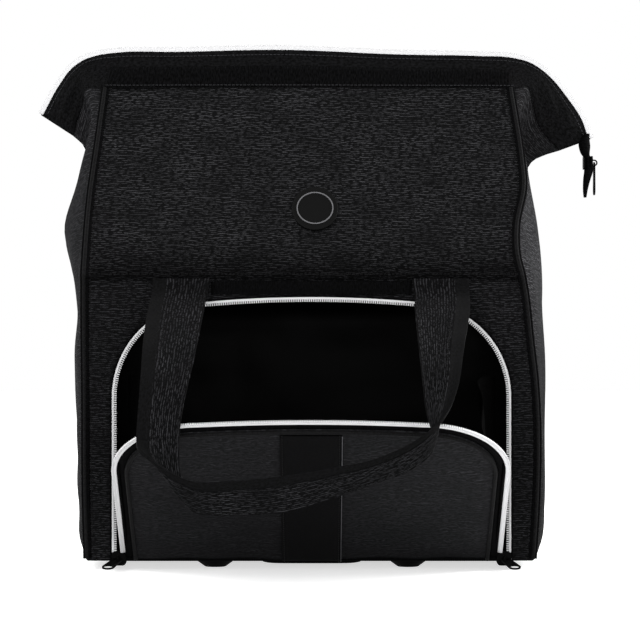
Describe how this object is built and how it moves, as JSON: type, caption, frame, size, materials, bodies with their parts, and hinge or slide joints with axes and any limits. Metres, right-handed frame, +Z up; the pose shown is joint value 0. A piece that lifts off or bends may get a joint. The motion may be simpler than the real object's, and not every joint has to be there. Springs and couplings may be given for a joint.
{
  "type": "carrier tote bag",
  "caption": "Black structured fabric tote with framed zip mouth, zipped front pocket folded open, two webbing handles and moulded feet.",
  "frame": {"origin": "middle of the whole part's box on the floor plane, with the bag standing on its feet", "axes": "+X across the bag to the right as seen from the front, -Y out of the pocket side, +Z up"},
  "size_m": [0.4966, 0.4242, 0.455],
  "materials": {
    "outer_cloth": "black jacquard-woven polyester with short pale flecks",
    "lining": "smooth black lining cloth",
    "black_tape": "ribbed black webbing and binding tape",
    "white_zip": "white nylon coil",
    "black_metal": "black lacquered zinc",
    "steel": "plain spring steel and rivets",
    "rubber_foot": "moulded black foot",
    "badge_rubber": "moulded soft rubber patch",
    "board": "stiff black plastic board"
  },
  "bodies": {
    "root": {"foot_front_left": "rubber_foot", "foot_rear_left": "rubber_foot", "foot_front_right": "rubber_foot", "foot_rear_right": "rubber_foot", "base_panel": "outer_cloth", "base_board": "board", "base_patch": "black_tape", "foot_rivets": "steel", "front_lower_panel": "outer_cloth", "upper_front_panel": "outer_cloth", "back_panel": "outer_cloth", "left_side_panel": "outer_cloth", "right_side_panel": "outer_cloth", "front_left_piping": "black_tape", "rear_left_piping": "black_tape", "front_right_piping": "black_tape", "rear_right_piping": "black_tape", "main_lining": "lining", "pocket_lining": "lining", "opening_zip": "white_zip", "hook_strip": "black_tape", "round_badge": "badge_rubber", "badge_ring": "badge_rubber", "left_frame_bracket": "steel", "left_frame_rivet": "steel", "right_frame_bracket": "steel", "right_frame_rivet": "steel", "left_door_gusset": "lining", "right_door_gusset": "lining", "front_left_handle_root": "black_tape", "rear_left_handle_root": "black_tape", "front_right_handle_root": "black_tape", "rear_right_handle_root": "black_tape", "zip_tail": "black_tape", "tail_fold": "black_tape"},
    "front_mouth": {"front_mouth_band": "outer_cloth", "front_left_wing": "outer_cloth", "front_right_wing": "outer_cloth", "front_mouth_zip": "white_zip", "front_frame_wire": "steel"},
    "rear_mouth": {"rear_mouth_band": "outer_cloth", "rear_left_wing": "outer_cloth", "rear_right_wing": "outer_cloth", "rear_mouth_zip": "white_zip", "rear_frame_wire": "steel"},
    "pocket_door": {"door_zip": "white_zip", "door_zip_tape": "black_tape", "door_panel": "outer_cloth", "door_lining": "lining", "door_piping": "black_tape", "door_webbing": "black_tape"},
    "front_handle": {"front_handle": "outer_cloth"},
    "rear_handle": {"rear_handle": "outer_cloth"},
    "left_pocket_slider": {"left_pocket_slider": "black_metal"},
    "right_pocket_slider": {"right_pocket_slider": "black_metal"},
    "left_pocket_pull": {"left_pocket_pull": "black_metal"},
    "right_pocket_pull": {"right_pocket_pull": "black_metal"},
    "mouth_slider": {"mouth_slider": "black_metal"},
    "mouth_pull": {"mouth_pull": "black_metal"}
  },
  "joints": [
    {"name": "front_mouth_hinge", "type": "hinge", "parent": "root", "child": "front_mouth", "pos_m": [-0.00812, 0.10242, 0.365], "axis": [1, 0, 0], "range_deg": [0, 45]},
    {"name": "rear_mouth_hinge", "type": "hinge", "parent": "root", "child": "rear_mouth", "pos_m": [-0.00812, 0.10242, 0.365], "axis": [-1, 0, 0], "range_deg": [0, 45]},
    {"name": "pocket_door_hinge", "type": "hinge", "parent": "root", "child": "pocket_door", "pos_m": [-0.00812, -0.00258, 0.01], "axis": [-1, 0, 0], "range_deg": [0, 55], "deforming": ["left_door_gusset", "right_door_gusset"]},
    {"name": "front_handle_hinge", "type": "hinge", "parent": "root", "child": "front_handle", "pos_m": [-0.00812, -0.01098, 0.246], "axis": [-1, 0, 0], "range_deg": [0, 115]},
    {"name": "rear_handle_hinge", "type": "hinge", "parent": "root", "child": "rear_handle", "pos_m": [-0.00812, 0.20922, 0.246], "axis": [1, 0, 0], "range_deg": [0, 120]},
    {"name": "left_pocket_zip_slide", "type": "slide", "parent": "root", "child": "left_pocket_slider", "axis": [0, 0, 1], "range_m": [0, 0.127]},
    {"name": "left_pocket_pull_swing", "type": "hinge", "parent": "left_pocket_slider", "child": "left_pocket_pull", "pos_m": [-0.17367, -0.00748, 0.01], "axis": [-1, 0, 0], "range_deg": [0, 90]},
    {"name": "right_pocket_zip_slide", "type": "slide", "parent": "root", "child": "right_pocket_slider", "axis": [0, 0, 1], "range_m": [0, 0.127]},
    {"name": "right_pocket_pull_swing", "type": "hinge", "parent": "right_pocket_slider", "child": "right_pocket_pull", "pos_m": [0.15743, -0.00748, 0.01], "axis": [-1, 0, 0], "range_deg": [0, 90]},
    {"name": "mouth_zip_slide", "type": "slide", "parent": "root", "child": "mouth_slider", "axis": [0, 0, 1], "range_m": [0, 0.01]},
    {"name": "mouth_pull_swing", "type": "hinge", "parent": "mouth_slider", "child": "mouth_pull", "pos_m": [0.24528, 0.10242, 0.356], "axis": [0, -1, 0], "range_deg": [0, 150]}
  ]
}
